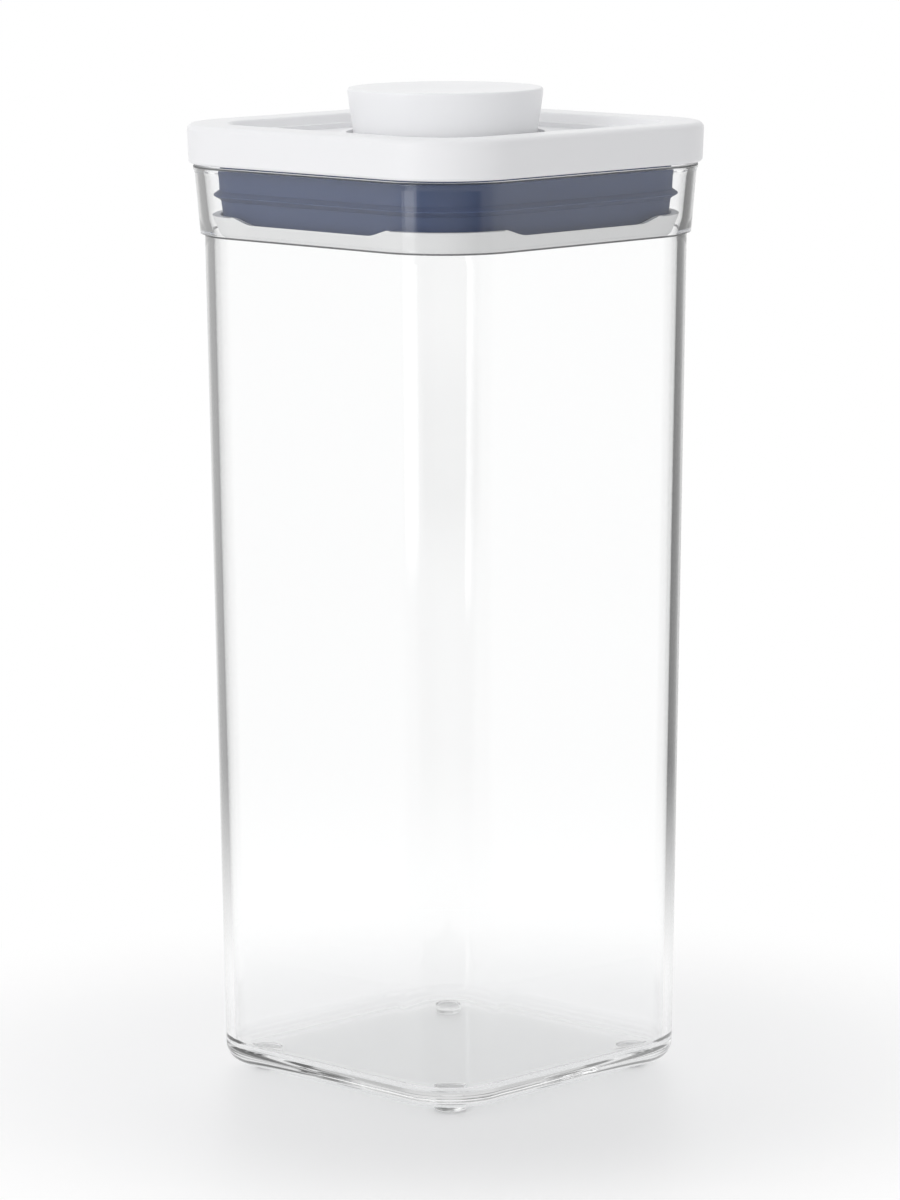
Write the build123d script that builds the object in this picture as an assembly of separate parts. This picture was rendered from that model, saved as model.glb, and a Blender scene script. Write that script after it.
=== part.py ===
from build123d import *
import math
import os

os.makedirs("parts", exist_ok=True)

# Everything is in millimetres. The origin lies on the plane under the feet, at the middle of the footprint.

# Canister
base_side = 90.4  # outside width at the foot of the walls
base_corner = 17.4
wall_height = 210.4  # underside to the ledge
wall_flare = 3.3  # how far each wall leans out on its way up to the ledge
wall_thickness = 2.3
floor_thickness = 4.0
bottom_edge_radius = 4.5
inner_floor_radius = 3.0
collar_height = 17.6  # ledge to rim
collar_step = 0.7  # how far the collar stands out over the wall below it
collar_flare = 1.2
collar_corner_trim = 1.0  # the collar's corners are this much sharper than the wall's
collar_corner_growth = 0.6  # from the collar's foot to the rim
rim_bead = 0.2  # how far the bead round the rim stands out
rim_bead_height = 2.0
rim_edge_radius = 0.5

# Moulded feet
foot_height = 2.3
foot_radius = 4.0
foot_inset = 12.9  # from each foot's centre to the outside of the wall's foot
foot_edge_radius = 0.8

# Lid cover
seat_gap = 0.1  # between the rim and the lid that lies on it
lid_overhang = 1.15  # how far the lid stands out over the rim bead
lid_corner_trim = 0.85  # the lid's corners are this much sharper than an even overhang gives
lid_height = 10.1
lid_draft = 0.4  # how much each side leans in on its way down
lid_top_radius = 1.8
lid_foot_radius = 1.2
cover_thickness = 1.8
border_width = 9.5  # flat border round the recess
recess_corner = 14.0
recess_upper_depth = 2.4
recess_upper_slope = 0.9
recess_ledge_width = 1.2
recess_lower_depth = 1.3
collar_ring_width = 0.9  # flat top of the low collar round the button
collar_ring_slope = 2.9
collar_ring_height = 1.3
rib_thickness = 1.2
ribs_per_side = 3
rib_pitch = 22.0

# Button
button_radius = 24.4  # at the widest, just under the top edge
button_waist_inset = 1.35  # how much narrower it is where it leaves the lid
button_waist_drop = 1.0  # the waist's depth under the lid's top
button_foot_inset = 1.8
button_rise = 8.5  # height over the lid, and the travel that brings it flush
button_wall = 1.6
button_top_thickness = 1.8
button_edge_radius = 0.7
button_dish = 0.5
button_clearance = 0.5  # between the widest part and its well
button_rib_count = 8
button_rib_height = 5.0
well_wall = 1.6
well_lip_height = 1.5
well_lip_reach = 1.1
stop_lug_reach = 2.0
stop_lug_height = 1.4
stop_lug_width = 7.0
stop_lug_angle = 45.0  # from the middle of a side to a lug
lug_clearance = 0.2

# Lid frame
frame_plate = 1.8
frame_wall = 1.6
frame_clearance = 0.15
window_clearance = 0.6

# Gasket
gasket_wall_gap = 3.1  # between the gasket's top and the inside of the rim
gasket_corner_ease = 1.4  # how much rounder its corners are than an even gap gives
gasket_height = 15.9
gasket_top_gap = 0.2
gasket_thickness = 2.4
gasket_upper_taper = 0.3  # how far each side leans in from the top to the fin
gasket_lower_taper = 0.9  # and from the fin to the foot
fin_drop = 7.6  # from the gasket's top to the fin's edge
fin_reach = 1.5
fin_root = 2.2
fin_edge = 0.4
bead_drop = 11.2  # from the gasket's top to the low bead under the fin
bead_reach = 0.3
bead_height = 1.0
gasket_gap = 0.2  # between the gasket and what backs it

# Tray
tray_drop = 16.5  # lid seat to the tray's inner floor
tray_floor = 1.7
tray_wall_gap = 0.6  # between the lip's top and the inside of the collar's foot
tray_corner_ease = 0.6
tray_taper = 1.7
tray_lip_height = 3.6
tray_lip_thickness = 1.3
tray_lip_dip = 1.7
dip_width = 41.0
dip_slope = 8.0
dip_run_out = 0.1  # the dip's ends level out this far above the lip
dip_low_radius = 7.0
dip_high_radius = 4.0
tray_edge_radius = 1.2
rail_height = 2.4
rail_thickness = 1.2
rail_gap = 0.3

# Snap posts that hold tray, frame and cover together
post_inset = 13.3  # from each post's centre to the outside of the tray
post_radius = 2.0
post_shoulder_radius = 3.2
post_boss_radius = 3.6
post_clearance = 0.15
post_tip = 0.8

# Push-push latch
hub_radius = 12.4
hub_wall = 2.0
hub_drop = 5.8  # how far the hub, with its cover, hangs below the tray
hub_cover_thickness = 1.2
hub_cover_spigot = 3.0
hub_cover_spigot_wall = 1.5
hub_edge_radius = 0.6
latch_clearance = 0.2
sleeve_height = 12.0
sleeve_flange_radius = 11.4
sleeve_flange_height = 1.0
barrel_radius = 8.0
barrel_gap = 0.25  # between barrel and sleeve
barrel_bore_radius = 5.7
barrel_height = 15.4
barrel_web = 1.5
barrel_floor_gap = 0.5
groove_depth = 1.1
pin_radius = 1.0
groove_clearance = 0.2
pin_count = 4
pin_height = 2.6  # from the barrel's foot, with the button up
lock_dip = 0.9
lock_spread = 6.0  # degrees from a lock notch to each pocket beside it
stud_radius = 2.4
stud_height = 2.1
stud_head_radius = 3.3
stud_head_height = 1.2
stud_clearance = 0.1

# Wedge under the button
wedge_half_width = 13.0
wedge_bottom_rise = 10.1  # wedge's foot over the tray's inner floor, with the button up
wedge_corner = 3.0
wedge_bore_radius = 10.6
plunger_plate = 1.8
plunger_gap = 0.1  # between the barrel's top and the plate that presses it
stem_radius = 8.0
stem_bore_radius = 5.0
stem_fit = 0.1
stem_socket_wall = 1.5
stem_socket_height = 6.0

# Seal pushers
seal_travel = 1.3
wedge_gap = 0.15
pusher_head_inset = 0.5  # from each end of the head to the end of the tray's dip
pusher_head_height = 7.6
pusher_head_depth = 3.0
pusher_bar_width = 12.0
pusher_bar_height = 3.0
pusher_rib_thickness = 2.2
pusher_tab_width = 16.0
pusher_tab_depth = 3.0
pusher_tab_rise = 4.0  # how far the tab stands over the wedge's foot
pusher_floor_gap = 0.3
pusher_edge_radius = 0.8
gusset_reach = 12.0

# Return spring
spring_radius = 4.6
spring_wire = 1.0
spring_coils = 7.5
spring_end_gap = 0.05

# Allowances for the construction
join_overlap = 0.5  # how far one feature of a piece runs into the next
cut_margin = 1.0  # how far a cut passes the face it opens
height_tolerance = 0.001  # for finding edges and points by their height

# Heights that follow from the sizes above
floor_z = foot_height + floor_thickness
ledge_z = foot_height + wall_height
rim_z = ledge_z + collar_height
seat_z = rim_z + seat_gap
lid_top_z = seat_z + lid_height
recess_ledge_z = lid_top_z - recess_upper_depth
recess_floor_z = recess_ledge_z - recess_lower_depth
frame_top_z = seat_z + frame_plate
gasket_top_z = seat_z - gasket_top_gap
gasket_foot_z = gasket_top_z - gasket_height
tray_floor_z = seat_z - tray_drop
tray_foot_z = tray_floor_z - tray_floor
hub_foot_z = tray_foot_z - hub_drop
button_top_z = lid_top_z + button_rise
button_under_z = button_top_z - button_dish - button_top_thickness
button_foot_z = frame_top_z - lug_clearance - stop_lug_height
hub_floor_z = hub_foot_z + hub_cover_thickness
barrel_foot_z = hub_floor_z + barrel_floor_gap + button_rise
barrel_top_z = barrel_foot_z + barrel_height
plunger_plate_z = barrel_top_z + plunger_gap
wedge_foot_z = tray_floor_z + wedge_bottom_rise

# Widths that follow
ledge_side = base_side + 2 * wall_flare
ledge_corner = base_corner + wall_flare
collar_side = ledge_side + 2 * collar_step
collar_corner = ledge_corner + collar_step - collar_corner_trim
rim_side = collar_side + 2 * collar_flare
rim_corner = collar_corner + collar_corner_growth
lid_side = rim_side + 2 * (rim_bead + lid_overhang)
lid_corner = rim_corner + rim_bead + lid_overhang - lid_corner_trim
recess_side = lid_side - 2 * border_width
button_waist_radius = button_radius - button_waist_inset
button_foot_radius = button_radius - button_foot_inset
well_radius = button_radius + button_clearance
gasket_side = rim_side - 2 * (wall_thickness + gasket_wall_gap)
gasket_corner = rim_corner - wall_thickness - gasket_wall_gap + gasket_corner_ease
gasket_inner_side = gasket_side - 2 * gasket_thickness
gasket_inner_corner = gasket_corner - gasket_thickness
frame_wall_side = gasket_inner_side - 2 * gasket_gap
frame_wall_corner = gasket_inner_corner - gasket_gap
tray_side = collar_side - 2 * (wall_thickness + tray_wall_gap)
tray_corner = collar_corner - wall_thickness - tray_wall_gap + tray_corner_ease
post_spread = tray_side - 2 * post_inset
foot_spread = base_side - 2 * foot_inset
sleeve_bore = barrel_radius + barrel_gap
hub_bore = hub_radius - hub_wall
sleeve_radius = hub_bore - latch_clearance
wedge_slope = seal_travel / button_rise
pusher_foot_z = tray_floor_z + pusher_floor_gap
pusher_top_z = pusher_foot_z + pusher_head_height
pusher_face = frame_wall_side / 2
pusher_head_width = dip_width - 2 * pusher_head_inset
under_floor_z = recess_floor_z - cover_thickness
pusher_tab_top_z = wedge_foot_z + pusher_tab_rise
pusher_tab_back = wedge_half_width + wedge_gap + pusher_tab_rise * wedge_slope + pusher_tab_depth


def square(side, corner, z):
    return Plane.XY.offset(z) * RectangleRounded(side, side, corner)


def block(side, corner, low, high, flare=0.0, corner_growth=None):
    """Rounded square block. Its sides lean out by flare on their way up."""
    growth = flare if corner_growth is None else corner_growth
    foot = square(side, corner, low)
    top = square(side + 2 * flare, corner + growth, high)
    return loft([foot, top], ruled=True)


def disc(radius, low, high):
    return Pos(0, 0, low) * Cylinder(radius, high - low, align=(Align.CENTER, Align.CENTER, Align.MIN))


def tube(outer, inner, low, high):
    return disc(outer, low, high) - disc(inner, low, high)


def bar(x_low, x_high, y_low, y_high, z_low, z_high):
    size = (x_high - x_low, y_high - y_low, z_high - z_low)
    return Pos(x_low, y_low, z_low) * Box(*size, align=(Align.MIN, Align.MIN, Align.MIN))


def at_height(items, z, axis=Axis.Z):
    return items.filter_by_position(axis, z - height_tolerance, z + height_tolerance)


def edges_at(solid, z):
    return at_height(solid.edges(), z)


def four_sides():
    return [Rot(0, 0, 90 * turn) for turn in range(4)]


def corner_places(spread):
    return [Pos(x, y, 0) for x in (-spread / 2, spread / 2) for y in (-spread / 2, spread / 2)]


def make_container_body():
    outside = block(base_side, base_corner, foot_height, ledge_z, wall_flare)
    outside = fillet(edges_at(outside, foot_height), bottom_edge_radius)
    collar_foot_z = ledge_z + collar_step
    step_corner_growth = collar_corner - ledge_corner
    outside += block(ledge_side, ledge_corner, ledge_z, collar_foot_z, collar_step, step_corner_growth)
    outside += block(collar_side, collar_corner, collar_foot_z, rim_z, collar_flare, collar_corner_growth)
    bead = block(rim_side + 2 * rim_bead, rim_corner + rim_bead, rim_z - rim_bead_height, rim_z)
    outside += fillet(edges_at(bead, rim_z) + edges_at(bead, rim_z - rim_bead_height), rim_edge_radius)
    for place in corner_places(foot_spread):
        foot = place * disc(foot_radius, 0, foot_height + join_overlap)
        outside += fillet(edges_at(foot, 0), foot_edge_radius)

    floor_lean = wall_flare * floor_thickness / wall_height
    inner_side = base_side + 2 * floor_lean - 2 * wall_thickness
    inner_corner = base_corner + floor_lean - wall_thickness
    inside = block(inner_side, inner_corner, floor_z, ledge_z, wall_flare - floor_lean)
    inside = fillet(edges_at(inside, floor_z), inner_floor_radius)
    ledge_inner_side = ledge_side - 2 * wall_thickness
    ledge_inner_corner = ledge_corner - wall_thickness
    step_z = ledge_z + wall_thickness / 2
    inside += block(ledge_inner_side, ledge_inner_corner, ledge_z, step_z)
    step_top_z = step_z + collar_step
    inside += block(ledge_inner_side, ledge_inner_corner, step_z, step_top_z, collar_step, step_corner_growth)
    collar_inner_side = collar_side - 2 * wall_thickness
    collar_inner_corner = collar_corner - wall_thickness
    inside += block(
        collar_inner_side, collar_inner_corner, step_top_z, rim_z, collar_flare, collar_corner_growth
    )
    return outside - inside


def make_lid_cover():
    foot_side = lid_side - 2 * lid_draft
    foot_corner = lid_corner - lid_draft
    cover = block(foot_side, foot_corner, seat_z, lid_top_z, lid_draft)
    cover = fillet(edges_at(cover, lid_top_z), lid_top_radius)
    cover = fillet(edges_at(cover, seat_z), lid_foot_radius)

    # recess with a ledge half way down its wall
    ledge_side_out = recess_side - 2 * recess_upper_slope
    ledge_corner_out = recess_corner - recess_upper_slope
    cover -= block(ledge_side_out, ledge_corner_out, recess_ledge_z, lid_top_z, recess_upper_slope)
    floor_side = ledge_side_out - 2 * recess_ledge_width
    floor_corner = ledge_corner_out - recess_ledge_width
    cover -= block(floor_side, floor_corner, recess_floor_z, recess_ledge_z)

    # low collar round the button
    collar_top = well_radius + collar_ring_width
    collar_foot = collar_top + collar_ring_slope
    cone = Cone(collar_foot, collar_top, collar_ring_height, align=(Align.CENTER, Align.CENTER, Align.MIN))
    cover += Pos(0, 0, recess_floor_z) * cone

    # hollow from below, with a channel under the border
    hollow_side = foot_side - 2 * cover_thickness
    hollow_corner = foot_corner - cover_thickness
    hollow = block(hollow_side, hollow_corner, seat_z, under_floor_z)
    channel = block(hollow_side, hollow_corner, under_floor_z, lid_top_z - cover_thickness)
    core_side = ledge_side_out + 2 * cover_thickness
    core_corner = ledge_corner_out + cover_thickness
    channel -= block(core_side, core_corner, under_floor_z, lid_top_z, recess_upper_slope)
    cover -= hollow + channel

    # ribs in the channel, which end inside the walls
    half_wall = cover_thickness / 2
    half_rib = rib_thickness / 2
    rib_inner = ledge_side_out / 2 + half_wall
    rib_outer = hollow_side / 2 + half_wall
    for side in four_sides():
        for number in range(ribs_per_side):
            y = (number - (ribs_per_side - 1) / 2) * rib_pitch
            rib = bar(rib_inner, rib_outer, y - half_rib, y + half_rib, frame_top_z, lid_top_z - half_wall)
            cover += side * rib

    # well for the button, with an inner lip that stops its lugs
    cover += disc(well_radius + well_wall, frame_top_z, recess_floor_z)
    cover -= disc(well_radius, frame_top_z, lid_top_z)
    cover += tube(
        well_radius + well_wall, well_radius - well_lip_reach, frame_top_z, frame_top_z + well_lip_height
    )

    # sockets for the snap posts
    for place in corner_places(post_spread):
        boss = disc(post_boss_radius, frame_top_z, under_floor_z + half_wall)
        cover += place * boss
        cover -= place * disc(post_radius + post_clearance, frame_top_z, under_floor_z)
    return cover


def make_lid_frame():
    plate_side = lid_side - 2 * (lid_draft + cover_thickness + frame_clearance)
    plate_corner = lid_corner - lid_draft - cover_thickness - frame_clearance
    frame = block(plate_side, plate_corner, seat_z, frame_top_z)
    wall = block(frame_wall_side, frame_wall_corner, pusher_foot_z, seat_z)
    wall -= block(frame_wall_side - 2 * frame_wall, frame_wall_corner - frame_wall, pusher_foot_z, seat_z)
    frame += wall
    frame -= disc(well_radius, seat_z, frame_top_z)
    half_window = pusher_head_width / 2 + window_clearance
    window_top_z = pusher_top_z + window_clearance
    window_inner = pusher_face - frame_wall - cut_margin
    window_outer = pusher_face + cut_margin
    for side in four_sides():
        window = bar(window_inner, window_outer, -half_window, half_window, pusher_foot_z, window_top_z)
        frame -= side * window
    for place in corner_places(post_spread):
        frame -= place * disc(post_radius + post_clearance, seat_z, frame_top_z)
    return frame


def make_gasket():
    fin_z = gasket_top_z - fin_drop
    bead_z = gasket_top_z - bead_drop

    def half_at(z):
        if z > fin_z:
            return gasket_side / 2 - gasket_upper_taper * (gasket_top_z - z) / fin_drop
        below = (fin_z - z) / (gasket_height - fin_drop)
        return gasket_side / 2 - gasket_upper_taper - gasket_lower_taper * below

    half_root = fin_root / 2
    half_edge = fin_edge / 2
    half_bead = bead_height / 2
    steps = [
        (gasket_foot_z, 0),
        (bead_z - half_bead, 0),
        (bead_z, bead_reach),
        (bead_z + half_bead, 0),
        (fin_z - half_root, 0),
        (fin_z - half_edge, fin_reach),
        (fin_z + half_edge, fin_reach),
        (fin_z + half_root, 0),
        (gasket_top_z, 0),
    ]
    gasket = Part()
    for (low, low_reach), (high, high_reach) in zip(steps, steps[1:]):
        low_half = half_at(low) + low_reach
        growth = half_at(high) + high_reach - low_half
        gasket += block(2 * low_half, gasket_corner - gasket_side / 2 + low_half, low, high, growth)
    gasket -= block(gasket_inner_side, gasket_inner_corner, gasket_foot_z, gasket_top_z)
    return gasket


def make_lid_base():
    lip_z = tray_floor_z + tray_lip_height
    lean = tray_taper * tray_floor / (tray_floor + tray_lip_height)
    foot_side = tray_side - 2 * tray_taper
    foot_corner = tray_corner - tray_taper
    tray = block(foot_side, foot_corner, tray_foot_z, lip_z, tray_taper)
    tray = fillet(edges_at(tray, tray_foot_z), tray_edge_radius)
    inner_side = foot_side + 2 * (lean - tray_lip_thickness)
    inner_corner = foot_corner + lean - tray_lip_thickness
    tray -= block(inner_side, inner_corner, tray_floor_z, lip_z, tray_taper - lean)

    # the lip dips in the middle of each side
    dip_z = lip_z - tray_lip_dip
    half_low = dip_width / 2
    half_high = half_low + dip_slope
    half_cut = half_high + dip_slope
    run_out_z = lip_z + dip_run_out
    cut_z = lip_z + cut_margin
    outline = Polyline(
        (-half_cut, cut_z),
        (-half_cut, run_out_z),
        (-half_high, run_out_z),
        (-half_low, dip_z),
        (half_low, dip_z),
        (half_high, run_out_z),
        (half_cut, run_out_z),
        (half_cut, cut_z),
        close=True,
    )
    dip = make_face(outline)
    dip = fillet(at_height(dip.vertices(), dip_z, Axis.Y), dip_low_radius)
    high_points = at_height(dip.vertices(), run_out_z, Axis.Y)
    dip = fillet([point for point in high_points if abs(point.X) < half_cut - cut_margin], dip_high_radius)
    cut_depth = (tray_side - inner_side) / 2 + 2 * cut_margin
    cut = extrude(Plane.YZ.offset(inner_side / 2 - cut_margin) * dip, cut_depth)
    for side in four_sides():
        tray -= side * cut

    # hub that holds the latch
    tray += disc(hub_radius, hub_floor_z, tray_floor_z)
    tray -= disc(hub_bore, hub_floor_z, tray_floor_z)

    # rails for the seal pushers, and posts that clip the lid together
    rail_low = pusher_bar_width / 2 + rail_gap
    rail_start = pusher_tab_back + seal_travel + rail_gap
    rail_end = pusher_face - pusher_head_depth - gusset_reach - rail_gap
    for side in four_sides():
        for sign in (-1, 1):
            y_low, y_high = sorted((sign * rail_low, sign * (rail_low + rail_thickness)))
            tray += side * bar(rail_start, rail_end, y_low, y_high, tray_floor_z, tray_floor_z + rail_height)
    for place in corner_places(post_spread):
        tray += place * disc(post_shoulder_radius, tray_floor_z, seat_z)
        pin = disc(post_radius, seat_z, under_floor_z - post_clearance)
        tray += place * chamfer(edges_at(pin, under_floor_z - post_clearance), post_tip)
    return tray


def make_hub_cover():
    cover = disc(hub_radius, hub_foot_z, hub_floor_z)
    cover = fillet(edges_at(cover, hub_foot_z), hub_edge_radius)
    spigot_top_z = hub_floor_z + hub_cover_spigot
    return cover + tube(sleeve_radius, sleeve_radius - hub_cover_spigot_wall, hub_floor_z, spigot_top_z)


def spoke(length, radius, z, angle, start):
    """Round bar that points away from the axis."""
    rod = Rot(0, 90, 0) * Cylinder(radius, length, align=(Align.CENTER, Align.CENTER, Align.MIN))
    return Rot(0, 0, angle) * Pos(start, 0, z) * rod


def make_latch_sleeve():
    foot_z = hub_floor_z + hub_cover_spigot + latch_clearance
    sleeve = tube(sleeve_radius, sleeve_bore, foot_z, foot_z + sleeve_height)
    sleeve += tube(sleeve_flange_radius, sleeve_bore, tray_floor_z, tray_floor_z + sleeve_flange_height)
    pin_tip = barrel_radius - groove_depth + groove_clearance
    pin_length = (sleeve_radius + sleeve_bore) / 2 - pin_tip
    for number in range(pin_count):
        angle = number * 360 / pin_count
        sleeve += spoke(pin_length, pin_radius, barrel_foot_z + pin_height, angle, pin_tip)
    return sleeve


def make_latch_barrel():
    barrel = disc(barrel_radius, barrel_foot_z, barrel_top_z)
    barrel -= disc(barrel_bore_radius, barrel_foot_z, barrel_top_z - barrel_web)
    barrel += disc(stud_radius, barrel_top_z, barrel_top_z + stud_height)
    head_z = barrel_top_z + stud_height
    barrel += disc(stud_head_radius, head_z, head_z + stud_head_height)

    # closed zigzag groove: it climbs by the button's travel in one eighth of a turn, and falls in the next
    low_z = barrel_foot_z + pin_height
    high_z = low_z + button_rise
    half_period = 180 / pin_count
    pitch = button_rise * 360 / half_period
    groove_radius = pin_radius + groove_clearance
    groove_bottom = barrel_radius - groove_depth
    cutter_length = 2 * groove_depth
    for number in range(pin_count):
        low_angle = 2 * half_period * number
        for falling in (False, True):
            path = Helix(pitch, button_rise, barrel_radius, lefthand=falling)
            across = Rectangle(cutter_length, 2 * groove_radius)
            section = Plane(path @ 0, x_dir=(1, 0, 0), z_dir=path % 0) * across
            groove = sweep(section, path=path, is_frenet=True)
            barrel -= Rot(0, 0, low_angle) * Pos(0, 0, low_z) * groove
        barrel -= spoke(cutter_length, groove_radius, low_z, low_angle, groove_bottom)
        high_angle = low_angle - half_period
        barrel -= spoke(cutter_length, groove_radius, high_z, high_angle, groove_bottom)
        for offset in (-lock_spread, lock_spread):
            pocket_z = high_z + lock_dip
            barrel -= spoke(cutter_length, groove_radius, pocket_z, high_angle + offset, groove_bottom)
    return barrel


def make_return_spring():
    low = hub_floor_z + spring_wire / 2 + spring_end_gap
    high = barrel_top_z - barrel_web - spring_wire / 2 - spring_end_gap
    pitch = (high - low) / spring_coils
    path = Helix(pitch, high - low, spring_radius)
    section = Plane(path @ 0, z_dir=path % 0) * Circle(spring_wire / 2)
    gap = pitch - spring_wire
    print(f"spring: {gap:.2f} mm between coils, {gap - button_rise / spring_coils:.2f} mm when pressed")
    return Pos(0, 0, low) * sweep(section, path=path, is_frenet=True)


def make_button_plunger():
    top_z = plunger_plate_z + plunger_plate
    height = top_z - wedge_foot_z
    plunger = block(2 * wedge_half_width, wedge_corner, wedge_foot_z, top_z, wedge_slope * height, 0)
    plunger -= disc(wedge_bore_radius, wedge_foot_z, plunger_plate_z)
    plunger -= disc(stud_radius + stud_clearance, plunger_plate_z, top_z)
    plunger += tube(stem_radius, stem_bore_radius, top_z, button_under_z)
    web_inner = (stem_radius + stem_bore_radius) / 2
    web_low = top_z - plunger_plate / 2
    web_high = top_z + button_rib_height
    half_web = rib_thickness / 2
    for side in four_sides():
        plunger += side * bar(web_inner, wedge_half_width, -half_web, half_web, web_low, web_high)
    return plunger


def make_button_cap():
    waist_z = lid_top_z - button_waist_drop
    flare = ThreePointArc(
        (button_foot_radius, button_foot_z),
        (button_waist_radius, waist_z),
        (button_radius, button_top_z),
    )
    dish_low = button_top_z - button_dish
    dish = ThreePointArc(
        (button_radius, button_top_z),
        (button_radius / 2, button_top_z - button_dish * 3 / 4),
        (0, dish_low),
    )
    axis_line = Line((0, dish_low), (0, button_under_z))
    under = Line((0, button_under_z), (button_radius - button_wall, button_under_z))
    inside = ThreePointArc(
        (button_radius - button_wall, button_under_z),
        (button_waist_radius - button_wall, waist_z),
        (button_foot_radius - button_wall, button_foot_z),
    )
    foot = Line((button_foot_radius - button_wall, button_foot_z), (button_foot_radius, button_foot_z))
    profile = make_face(Curve() + [flare, dish, axis_line, under, inside, foot])
    cap = revolve(Plane.XZ * profile, Axis.Z)
    cap = fillet(edges_at(cap, button_top_z), button_edge_radius)
    socket = stem_radius + stem_fit
    cap += tube(socket + stem_socket_wall, socket, button_under_z - stem_socket_height, button_under_z)
    rib_inner = socket + stem_socket_wall / 2
    rib_outer = button_waist_radius - button_wall / 4
    rib_low = button_under_z - button_rib_height
    rib_high = button_under_z + button_top_thickness / 4
    half_rib = rib_thickness / 2
    for number in range(button_rib_count):
        angle = (number + 0.5) * 360 / button_rib_count
        cap += Rot(0, 0, angle) * bar(rib_inner, rib_outer, -half_rib, half_rib, rib_low, rib_high)
    lug_radius = button_foot_radius + stop_lug_reach
    lug_inner = button_foot_radius - button_wall / 2
    lug_ring = tube(lug_radius, lug_inner, button_foot_z, button_foot_z + stop_lug_height)
    half_lug = stop_lug_width / 2
    lug = bar(0, lug_radius + cut_margin, -half_lug, half_lug, button_foot_z, lid_top_z)
    for side in four_sides():
        cap += (Rot(0, 0, stop_lug_angle) * side * lug) & lug_ring
    return cap


def make_seal_pusher():
    def inner_face(z):
        return wedge_half_width + wedge_gap + (z - wedge_foot_z) * wedge_slope

    head_back = pusher_face - pusher_head_depth
    half_head = pusher_head_width / 2
    head = bar(head_back, pusher_face, -half_head, half_head, pusher_foot_z, pusher_top_z)
    head = fillet(head.edges().group_by(Axis.X)[-1], pusher_edge_radius)
    tab = make_face(
        Polyline(
            (inner_face(pusher_foot_z), pusher_foot_z),
            (inner_face(pusher_tab_top_z), pusher_tab_top_z),
            (pusher_tab_back, pusher_tab_top_z),
            (pusher_tab_back, pusher_foot_z),
            close=True,
        )
    )
    pusher = head + extrude(Plane.XZ * tab, pusher_tab_width / 2, both=True)

    # bar between tab and head, with a rib on top and a gusset on each side
    bar_start = pusher_tab_back - join_overlap
    bar_end = head_back + join_overlap
    bar_z = pusher_foot_z + pusher_bar_height
    half_bar = pusher_bar_width / 2
    half_rib = pusher_rib_thickness / 2
    pusher += bar(bar_start, bar_end, -half_bar, half_bar, pusher_foot_z, bar_z)
    pusher += bar(bar_start, bar_end, -half_rib, half_rib, bar_z - join_overlap, pusher_top_z)
    gusset = make_face(
        Polyline(
            (bar_end, half_bar - join_overlap),
            (head_back - gusset_reach, half_bar - join_overlap),
            (bar_end, half_bar + gusset_reach),
            close=True,
        )
    )
    arm = extrude(Plane.XY.offset(pusher_foot_z) * gusset, pusher_bar_height)
    return pusher + arm + mirror(arm, Plane.XZ)


parts = {
    "container_body": make_container_body(),
    "lid_cover": make_lid_cover(),
    "lid_frame": make_lid_frame(),
    "lid_base": make_lid_base(),
    "hub_cover": make_hub_cover(),
    "gasket": make_gasket(),
    "latch_sleeve": make_latch_sleeve(),
    "latch_barrel": make_latch_barrel(),
    "return_spring": make_return_spring(),
    "button_cap": make_button_cap(),
    "button_plunger": make_button_plunger(),
}
pusher = make_seal_pusher()
for turn, side_name in enumerate(("right", "back", "left", "front")):
    parts[f"seal_pusher_{side_name}"] = Rot(0, 0, 90 * turn) * pusher

for name, solid in parts.items():
    export_step(solid, f"parts/{name}.step")
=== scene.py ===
from math import pi, radians

import bmesh
import bpy
from mathutils import Matrix, Vector


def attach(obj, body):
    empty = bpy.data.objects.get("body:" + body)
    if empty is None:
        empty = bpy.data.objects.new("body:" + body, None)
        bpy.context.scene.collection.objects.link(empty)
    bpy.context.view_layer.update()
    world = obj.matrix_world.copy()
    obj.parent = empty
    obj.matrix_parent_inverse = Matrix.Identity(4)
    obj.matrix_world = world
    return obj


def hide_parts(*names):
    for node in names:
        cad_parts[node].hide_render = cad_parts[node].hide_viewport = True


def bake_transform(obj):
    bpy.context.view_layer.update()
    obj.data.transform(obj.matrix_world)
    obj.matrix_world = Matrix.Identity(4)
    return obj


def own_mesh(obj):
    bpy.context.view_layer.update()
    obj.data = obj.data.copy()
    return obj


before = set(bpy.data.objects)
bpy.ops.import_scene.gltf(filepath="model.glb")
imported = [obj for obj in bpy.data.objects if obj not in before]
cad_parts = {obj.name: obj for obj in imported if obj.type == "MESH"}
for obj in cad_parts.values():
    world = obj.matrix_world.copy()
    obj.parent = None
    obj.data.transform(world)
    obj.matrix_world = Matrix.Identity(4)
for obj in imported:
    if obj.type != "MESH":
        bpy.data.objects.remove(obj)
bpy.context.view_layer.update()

mm = 0.001
collection = bpy.context.scene.collection
print("frame loaded:", len(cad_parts), "nodes")


# camera, at the photograph's viewing angle
cameraSetup = {
    "place": (0.9512, -0.9603, 0.3336),
    "heading": 44.73,      # degrees, anticlockwise from +Y
    "pitch": -8.974,
    "roll": -0.23,
    "lens": 163.07,
    "sensorWidth": 36,
    "sideShift": 0.0024,
    "nearClip": 0.05,
}


def addCamera(setup):
    data = bpy.data.cameras.new("photoCamera")
    data.sensor_width = setup["sensorWidth"]
    data.lens = setup["lens"]
    data.shift_x = setup["sideShift"]
    data.clip_start = setup["nearClip"]
    data.dof.use_dof = False
    camera = bpy.data.objects.new("photoCamera", data)
    turn = Matrix.Rotation(radians(setup["heading"]), 4, "Z")
    tilt = Matrix.Rotation(radians(90 + setup["pitch"]), 4, "X")
    roll = Matrix.Rotation(radians(setup["roll"]), 4, "Z")
    camera.matrix_world = Matrix.Translation(setup["place"]) @ turn @ tilt @ roll
    collection.objects.link(camera)
    bpy.context.scene.camera = camera


addCamera(cameraSetup)


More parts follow.
